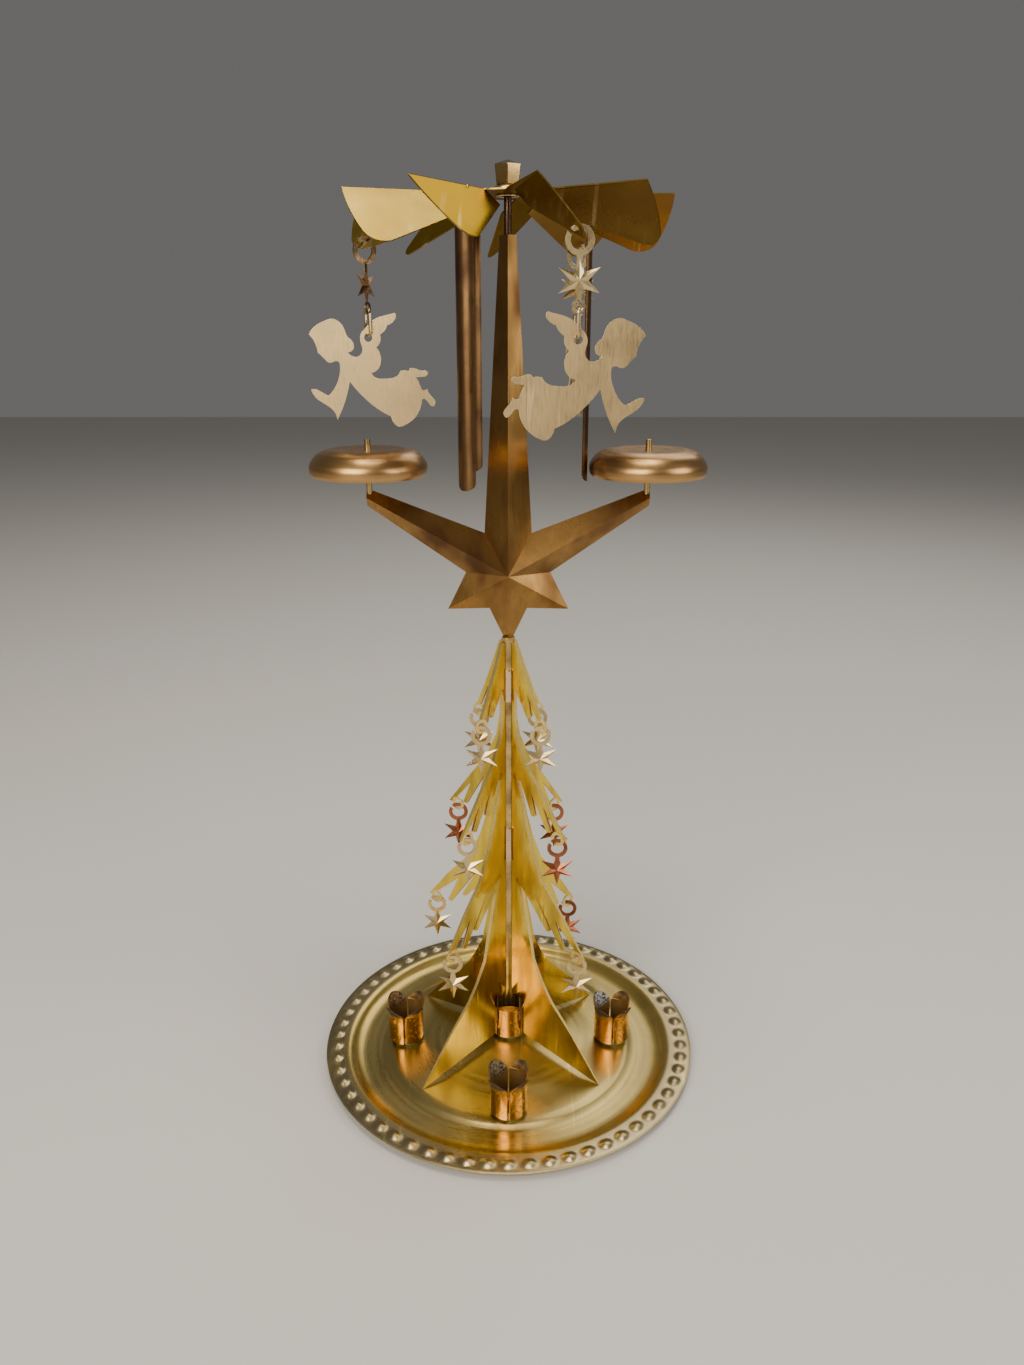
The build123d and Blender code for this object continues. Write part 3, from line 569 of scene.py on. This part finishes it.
def make_finishes():
    """Every finish but the cups' own, under the name that its pieces look for."""
    hues = bpy.context.scene.chime_colours
    # The edge finishes paint a highlight, with rubbed wear, on the rounded edges.
    for name in ("cup", "tree", "bronze", "rotor", "angel"):
        finishes[name + "_edge"] = rubbed_and_highlit_edge(name + "_bright_edge", getattr(hues, name + "_edge"))
    finishes["plate"] = plate_finish()
    finishes["tree"] = worn_metal(
        "tree_brass", hues.tree, hues.tree_tarnish, patina=0.8, patch=70,
        roughness=(0.10, 0.24), grain=(1, 1, 0.05), patch_stretch=(1.6, 1.6, 0.4), speckle=0.25,
        wave=0.0002,
    )
    finishes["mast"] = worn_metal(
        "mast_brass", hues.mast, hues.bronze_dark, patina=0.7, patch=110,
        roughness=(0.24, 0.4), grain=(1, 1, 0.04),
    )
    finishes["cap"] = worn_metal(
        "cap_brass", hues.cap, hues.bronze_dark, patina=0.5, patch=160, roughness=(0.12, 0.24),
        speckle=0.2, grain_depth=0.000005, gloss=0.01,
    )
    finishes["seam"] = worn_metal(
        "seam_brass", hues.seam, hues.stamped_dark, patina=0.4, patch=220, roughness=(0.2, 0.34),
        grain=(1, 1, 0.05), speckle=0.2,
    )
    finishes["frame"] = worn_metal(
        "frame_bronze", hues.bronze, hues.bronze_dark, patina=0.9, patch=60,
        roughness=(0.2, 0.38), grain=(1, 1, 0.06), grain_tint=0.35, patch_stretch=(1, 1, 0.5),
        speckle=0, scratch=0, grain_depth=0.000004, gloss=0.01, patch_detail=3.0,
    )
    for side in ("left", "right"):
        middle = joints["bell_" + side]["pos_m"]
        finishes["bell_" + side] = worn_metal(
            "bell_bronze_" + side, hues.bell, hues.bell_dark, patina=0.45, patch=55,
            roughness=(0.28, 0.36), centre=middle, rings=500, speckle=0, scratch=0,
            grain_depth=0.000003, wave=0.00005, patch_detail=2.0, gloss=0.005,
        )
    finishes["rotor"] = rotor_finish()
    finishes["stamped"] = worn_metal(
        "stamped_brass", hues.stamped, hues.stamped_dark, patina=0.45, patch=160,
        roughness=(0.2, 0.36), speckle=0.15, grain_depth=0.000005, gloss=0.01,
    )
    finishes["aged"] = worn_metal(
        "aged_brass", hues.aged, hues.striker_dark, patina=0.7, patch=180, roughness=(0.25, 0.45),
    )
    finishes["angel"] = worn_metal(
        "angel_brass", hues.angel, hues.angel_dark, patina=0.35, patch=95,
        roughness=(0.34, 0.46), grain=(1, 1, 0.14), grain_scale=1900, grain_tint=0.5,
        speckle=0.25, wave=0.00002,
    )
    finishes["copper"] = worn_metal(
        "copper_tint", hues.copper, hues.copper_dark, patina=0.8, patch=170,
        roughness=(0.24, 0.4),
    )
    finishes["striker"] = worn_metal(
        "striker_brass", hues.striker, hues.striker_dark, patina=0.9, patch=75,
        roughness=(0.28, 0.48), grain=(1, 1, 0.05), grain_tint=0.3, scratch=0.07,
    )
    finishes["steel"] = worn_metal(
        "needle_steel", hues.steel, hues.bronze_dark, patina=0.4, patch=200,
        roughness=(0.2, 0.35), grain=(1, 1, 0.1),
    )
    finishes["collar"] = worn_metal(
        "collar_brass", hues.stamped, hues.rotor_shade_and_tarnish, patina=0.5, patch=220,
        roughness=(0.16, 0.3), rings=2200,
    )


def plate_finish():
    """Satin brass, golden on the wall of the well and paler on the rim."""
    hues = bpy.context.scene.chime_colours
    metal = Finish("plate_brass")
    reach = metal.radius()
    patches = metal.noise(scale=24, detail=6.0)
    mess = metal.noise(scale=150, detail=3.0)
    wobble = metal.vary(reach, patches, -BAND_DRIFT, BAND_DRIFT)
    tarnish = metal.level(patches, TARNISHED, (0.0, 0.45))
    tint = metal.blend(tarnish, hues.plate, hues.plate_tarnish)
    tint = metal.blend(metal.level(wobble, GOLDEN_RADII, (0.0, 0.85)), tint, hues.plate_wall)
    tint = metal.blend(metal.level(wobble, PALE_RADII), tint, hues.plate_rim)
    tint = metal.blend(metal.level(mess, MESSY, (0.0, 0.3)), tint, hues.plate_tarnish)
    lines = metal.scratches(scale=180, amount=0.07)
    tint = metal.blend(metal.math("MULTIPLY", lines, 0.4), tint, hues.tree_edge)
    rings = metal.rings(scale=500)
    rough = metal.vary(metal.level(patches, CLOUDY, (0.26, 0.36)), rings, -0.03, 0.04)
    normal = metal.bump(rings, depth=0.000008)
    normal = metal.bump(lines, depth=-0.000006, below=normal)
    normal = metal.bump(metal.noise(scale=30, detail=1.0), depth=0.00015, below=normal)
    return metal.finish(tint, rough, normal)


def rotor_finish():
    """Yellow brass with painted shade on the faces that turn downward."""
    hues = bpy.context.scene.chime_colours
    metal = Finish("rotor_brass")
    metal.shader.inputs["Specular Tint"].default_value = (*hues.rotor_glance, 1)
    patches = metal.noise(scale=40, detail=3.0)
    fine = metal.noise(scale=900, detail=3.0)
    source = metal.tree.nodes.new("ShaderNodeTexCoord")
    upward = metal.add("ShaderNodeSeparateXYZ", Vector=source.outputs["Normal"]).outputs[2]
    # Painted shade: the faces that turn downward darken, in patches.
    below = metal.level(upward, UNDERSIDE_SHADE_SLOPES)
    painted_underside_shade = metal.math("MULTIPLY", below, metal.level(patches, UNDERSIDE_SHADE_PATCHES, (0.6, 1.0)))
    top = metal.blend(metal.level(patches, WORN, (0.0, 0.4)), hues.rotor, hues.tree_tarnish)
    tint = metal.blend(painted_underside_shade, top, hues.rotor_shade_and_tarnish)
    lines = metal.scratches(scale=240, amount=0.07)
    tint = metal.blend(metal.math("MULTIPLY", lines, 0.25), tint, hues.rotor_edge)
    rough = metal.vary(metal.level(patches, CLOUDY, (0.24, 0.38)), fine, -0.01, 0.01)
    normal = metal.bump(fine, depth=0.000004)
    normal = metal.bump(lines, SCRATCH_DEPTH, normal)
    normal = metal.bump(metal.noise(scale=40, detail=2.0), depth=0.0003, below=normal)
    return metal.finish(tint, rough, normal)


def cup_finish(name, centre, sootiness, wax_colour):
    """Orange brass, black with soot towards the petals' ends, with old wax on one of them."""
    hues = bpy.context.scene.chime_colours
    metal = Finish(name, centre)
    patches = metal.noise(scale=130, detail=7.0)
    fine = metal.noise(scale=1100, detail=3.0)
    height = metal.vary(metal.height(), patches, -SOOT_DRIFT, SOOT_DRIFT)
    soot = metal.level(height, SOOT_HEIGHTS, (0.0, sootiness))
    inside = metal.level(metal.radius(), SOOT_RADII, (0.0, 0.9))
    soot = metal.math("MAXIMUM", soot, inside)
    specks = metal.level(metal.noise(scale=700, detail=3.0), CUP_SPECKS, (0.0, 0.35))
    dirt = metal.math("MAXIMUM", soot, specks)
    tarnish = metal.level(patches, TARNISHED, (0.0, 0.5))
    brass = metal.blend(tarnish, hues.cup, hues.tree_tarnish)
    tint = metal.blend(dirt, brass, hues.soot)
    foot = metal.level(metal.height(), CRUST_HEIGHTS)
    foot = metal.math("MULTIPLY", foot, metal.level(patches, CRUST_PATCHES))
    tint = metal.blend(foot, tint, hues.crust)
    wax = metal.math("MULTIPLY", metal.spot(WAX_PLACE, WAX_CORE, WAX_REACH), sootiness)
    old_wax = metal.blend(metal.level(fine, WAX_FLECKS), wax_colour, hues.soot)
    tint = metal.blend(wax, tint, old_wax)
    cover = metal.math("MAXIMUM", metal.math("MAXIMUM", dirt, foot), wax)
    rough = metal.vary(metal.level(cover, (0.0, 1.0), (0.2, 0.7)), fine, -0.05, 0.06)
    crumbs = metal.math("MULTIPLY", cover, metal.noise(scale=420))
    normal = metal.bump(crumbs, depth=0.0005, below=metal.bump(fine, depth=0.00002))
    bare = metal.level(cover, (0.3, 1.0), (1.0, 0.15))
    metal.tree.links.new(bare, metal.shader.inputs["Metallic"])
    return metal.finish(tint, rough, normal)


class CHIME_OT_finishes(Operator):
    """Mix the metals"""

    bl_idname = "chime.finishes"
    bl_label = "Metals"

    def execute(self, context):
        make_finishes()
        return {"FINISHED"}


class CHIME_OT_plate(Operator):
    """Press the round plate with its beaded rim"""

    bl_idname = "chime.plate"
    bl_label = "Plate"

    def execute(self, context):
        sizes = context.scene.chime_sizes
        low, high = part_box("plate")
        radius = high.x
        bottom = low.z
        section = (*plate_section, (radius / MM, PLATE_EDGE_HEIGHT))
        outline = [(r * MM, bottom + z * MM) for r, z in section]
        outline = divided(rounded(outline, sizes.crease_radius), RING_PITCH)
        inner = [point for point in outline if point[0] < RIM_START]
        inner = inner[::FLOOR_RING] + [inner[-1]]
        outline = inner + [point for point in outline if point[0] >= RIM_START]
        plate = turned("beaded_plate", outline, FACES_PER_BEAD * sizes.bead_count)
        press_beads(plate, sizes)
        edit(plate)
        bpy.ops.mesh.normals_make_consistent(inside=False)
        close_edit()
        # The outline is the underside, and the thickness goes up from it.
        if plate.data.polygons[0].normal.z < 0:
            plate.data.flip_normals()
        thicken(plate, sizes.plate_sheet)
        shade(plate)
        settle(plate, "plate", finishes["plate"])
        return {"FINISHED"}


def press_beads(plate, sizes):
    """Raises an oblong bead at each of the rim's places."""
    pitch = tau / sizes.bead_count
    for vertex in plate.data.vertices:
        point = vertex.co
        inward = (point.to_2d().length - sizes.bead_circle) / sizes.bead_length
        if abs(inward) > 1:
            continue
        turn = atan2(point.y, point.x) % pitch
        along = min(turn, pitch - turn) * sizes.bead_circle / sizes.bead_width
        away = sqrt(inward ** 2 + along ** 2)
        if away < 1:
            point.z += sizes.bead_height * (1 + cos(pi * away)) / 2


class CHIME_OT_cups(Operator):
    """Bend the four candle cups and the socket of the mast"""

    bl_idname = "chime.cups"
    bl_label = "Candle cups"

    def execute(self, context):
        sizes = context.scene.chime_sizes
        for side, wax_colour in wax_colours.items():
            node = "centre_socket" if side == "centre" else "cup_" + side
            cup = finished_copy(node, "petal_cup_" + side, sizes.sheet_rounding)
            low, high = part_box(node)
            centre = ((low.x + high.x) / 2, (low.y + high.y) / 2, low.z)
            sootiness = SOCKET_SOOTINESS if side == "centre" else CUP_SOOTINESS
            finish = cup_finish("cup_brass_" + side, centre, sootiness, wax_colour)
            settle(cup, node, finish, finishes["cup_edge"])
        rivets = finished_copy("cup_rivets", "cup_rivet_heads", sizes.sheet_rounding)
        settle(rivets, "cup_rivets", finishes["striker"])
        return {"FINISHED"}


class CHIME_OT_tree(Operator):
    """Fold the tree's four sheets around the mast"""

    bl_idname = "chime.tree"
    bl_label = "Tree"

    def execute(self, context):
        sizes = context.scene.chime_sizes
        for number in range(1, FINS + 1):
            node = f"tree_fin_{number}"
            side = finished_copy(node, f"tree_side_{number}", sizes.fold_rounding)
            mark_cuts(side, sizes.cut_width)
            settle(side, node, finishes["tree"], finishes["tree_edge"])
        bars = finished_copy("seam_tabs", "seam_bars", sizes.sheet_rounding)
        settle(bars, "seam_tabs", finishes["seam"])
        upright = finished_copy("mast_post", "upright", sizes.turned_rounding)
        settle(upright, "mast_post", finishes["mast"])
        return {"FINISHED"}


class CHIME_OT_star_frame(Operator):
    """Press the long star that carries the bells and the needle"""

    bl_idname = "chime.star_frame"
    bl_label = "Star frame"

    def execute(self, context):
        sizes = context.scene.chime_sizes
        for side in ("front", "back"):
            node = "star_" + side
            half = finished_copy(node, "long_star_" + side, sizes.fold_rounding)
            settle(half, node, finishes["frame"], finishes["bronze_edge"])
        rod = finished_copy("needle", "needle_rod", sizes.sheet_rounding)
        settle(rod, "needle", finishes["steel"])
        return {"FINISHED"}


class CHIME_OT_bells(Operator):
    """Spin the two bells and turn their pins"""

    bl_idname = "chime.bells"
    bl_label = "Bells"

    def execute(self, context):
        sizes = context.scene.chime_sizes
        for side in ("left", "right"):
            node = "bell_" + side
            low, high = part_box(node)
            middle = (low + high) / 2
            section = bell_section(low, high, sizes.bell_sheet)
            bell = turned("bell_shell_" + side, section, BELL_FACES, (middle.x, middle.y))
            shade(bell, BELL_SHARP_ANGLE)
            settle(bell, node, finishes[node])
            pin = finished_copy("bell_post_" + side, "bell_pin_" + side, sizes.sheet_rounding)
            settle(pin, "bell_post_" + side, finishes["mast"])
        return {"FINISHED"}


def bell_section(low, high, sheet):
    """The closed section of a bell, from its hole round the lip and back inside."""
    radius = (high.x - low.x) / 2
    rim = low.z
    crown = high.z
    outer = [
        (BELL_HOLE, crown - BELL_DISH),
        (BELL_FLAT_RADIUS, crown - BELL_FLAT_DROP),
        (radius * BELL_CROWN_SHARE, crown),
        (radius * BELL_SHOULDER_SHARE, crown - BELL_SHOULDER_DROP),
        (radius, crown - BELL_SIDE_DROP),
        (radius - BELL_LIP_INSET, rim + BELL_LIP_RISE),
        (radius - BELL_RIM_INSET, rim),
    ]
    inner = [
        (radius - sheet - BELL_RIM_INSET, rim),
        (radius - sheet - BELL_LIP_INSET, rim + BELL_LIP_RISE),
    ]
    # The upper part slopes, so each way takes a share of the sheet's thickness.
    slant = sheet * BELL_SLANT_SHARE
    inner += [(r - slant, z - slant) for r, z in reversed(outer[1:5])]
    inner += [(BELL_HOLE, crown - sheet - BELL_DISH)]
    outer = rounded(outer, BELL_ROUNDING, BELL_ROUNDING_STEPS)
    inner = rounded(inner, BELL_ROUNDING, BELL_ROUNDING_STEPS)
    return outer + inner + [outer[0]]


class CHIME_OT_rotor(Operator):
    """Cut and bend the bladed rotor, and turn its hub"""

    bl_idname = "chime.rotor"
    bl_label = "Rotor"

    def execute(self, context):
        sizes = context.scene.chime_sizes
        sheet = finished_copy("rotor", "bladed_rotor", sizes.sheet_rounding)
        settle(sheet, "rotor", finishes["rotor"], finishes["rotor_edge"])
        for node, name, slot, finish in (
            ("hub_collar", "turned_collar", "stamped_brass", "collar"),
            ("hub_cap", "six_sided_cap", "mast_brass", "cap"),
            ("bearing_cup", "bearing_plug", "needle_steel", "steel"),
        ):
            piece = finished_copy(node, name, sizes.turned_rounding)
            settle(piece, node, finishes[finish])
        return {"FINISHED"}


class CHIME_OT_strikers(Operator):
    """Roll the three strikers"""

    bl_idname = "chime.strikers"
    bl_label = "Strikers"

    def execute(self, context):
        sizes = context.scene.chime_sizes
        for number in range(1, STRIKERS + 1):
            node = f"striker_{number}"
            strip = finished_copy(node, f"striker_strip_{number}", sizes.sheet_rounding)
            settle(strip, node, finishes["striker"])
        return {"FINISHED"}


class CHIME_OT_stars(Operator):
    """Stamp the small stars with their rings"""

    bl_idname = "chime.stars"
    bl_label = "Small stars"

    def execute(self, context):
        sizes = context.scene.chime_sizes
        for number in range(1, TREE_STARS + 1):
            node = f"tree_star_{number:02d}"
            star = finished_copy(node, f"tree_charm_{number:02d}", sizes.sheet_rounding)
            if number in copper_stars:
                settle(star, node, finishes["copper"])
            else:
                settle(star, node, finishes["stamped"])
        for number in range(1, CHAINS + 1):
            node = f"hanger_star_{number}"
            star = finished_copy(node, f"hanger_charm_{number}", sizes.sheet_rounding)
            settle(star, node, finishes["aged" if number == 1 else "stamped"])
        return {"FINISHED"}


class CHIME_OT_angels(Operator):
    """Cut the three flying angels and bend their loops"""

    bl_idname = "chime.angels"
    bl_label = "Angels"

    def execute(self, context):
        sizes = context.scene.chime_sizes
        for number in range(1, CHAINS + 1):
            loop = finished_copy(f"link_{number}", f"chain_loop_{number}", sizes.sheet_rounding)
            settle(loop, f"link_{number}", finishes["stamped"])
            angel = finished_copy(f"angel_{number}", f"flying_angel_{number}", sizes.sheet_rounding)
            settle(
                angel, f"angel_{number}", finishes["angel"], finishes["angel_edge"]
            )
        return {"FINISHED"}


class CHIME_OT_stage(Operator):
    """Lay the floor and set the lights and the camera"""

    bl_idname = "chime.stage"
    bl_label = "Stage"

    def execute(self, context):
        lay_floor()
        hang_lights()
        set_camera()
        return {"FINISHED"}


def lay_floor():
    deselect()
    bpy.ops.mesh.primitive_grid_add(
        x_subdivisions=2, y_subdivisions=2, size=FLOOR_SIZE, location=(0, 0, 0)
    )
    floor = bpy.context.object
    floor.name = "floor"
    material = bpy.data.materials.new("pale_floor")
    material.use_nodes = True
    shader = material.node_tree.nodes["Principled BSDF"]
    shader.inputs["Base Color"].default_value = FLOOR_COLOUR
    shader.inputs["Roughness"].default_value = FLOOR_ROUGHNESS
    floor.data.materials.append(material)


def hang_lights():
    for name, place, size, power, warmth in studio_lights:
        data = bpy.data.lights.new(name, "AREA")
        data.energy = power
        data.size = size
        data.color = warmth
        light = bpy.data.objects.new(name, data)
        bpy.context.collection.objects.link(light)
        light.location = place
        aim = Vector(LIGHT_AIM) - Vector(place)
        light.rotation_euler = aim.to_track_quat("-Z", "Y").to_euler()
    world = bpy.data.worlds.new("studio")
    world.use_nodes = True
    background = world.node_tree.nodes["Background"]
    background.inputs["Color"].default_value = WORLD_COLOUR
    background.inputs["Strength"].default_value = WORLD_STRENGTH
    bpy.context.scene.world = world


def set_camera():
    data = bpy.data.cameras.new("camera")
    data.sensor_width = SENSOR_WIDTH
    data.lens = CAMERA_LENS
    data.clip_start = CLIP_START
    camera = bpy.data.objects.new("camera", data)
    bpy.context.collection.objects.link(camera)
    camera.location = CAMERA_PLACE
    camera.rotation_euler = (radians(90 - CAMERA_DOWN), 0, 0)
    bpy.context.scene.camera = camera


operators = (
    CHIME_OT_finishes, CHIME_OT_plate, CHIME_OT_cups, CHIME_OT_tree, CHIME_OT_star_frame,
    CHIME_OT_bells, CHIME_OT_rotor, CHIME_OT_strikers, CHIME_OT_stars, CHIME_OT_angels,
    CHIME_OT_stage,
)


class CHIME_PT_panel(Panel):
    """Lists the chime's pieces in the sidebar"""

    bl_idname = "CHIME_PT_panel"
    bl_label = "Angel chime"
    bl_space_type = "VIEW_3D"
    bl_region_type = "UI"
    bl_category = "Angel chime"

    def draw(self, context):
        for operator in operators:
            self.layout.operator(operator.bl_idname)
        for group in (context.scene.chime_sizes, context.scene.chime_colours):
            box = self.layout.box()
            for name in group.bl_rna.properties.keys():
                if name not in ("rna_type", "name"):
                    box.prop(group, name)


classes = (ChimeSizes, ChimeColours, *operators, CHIME_PT_panel)


def register():
    for item in classes:
        bpy.utils.register_class(item)
    bpy.types.Scene.chime_sizes = PointerProperty(type=ChimeSizes)
    bpy.types.Scene.chime_colours = PointerProperty(type=ChimeColours)


def unregister():
    del bpy.types.Scene.chime_colours
    del bpy.types.Scene.chime_sizes
    for item in reversed(classes):
        bpy.utils.unregister_class(item)


def main():
    register()
    for operator in operators:
        group, name = operator.bl_idname.split(".")
        getattr(getattr(bpy.ops, group), name)()


if __name__ == "__main__":
    main()
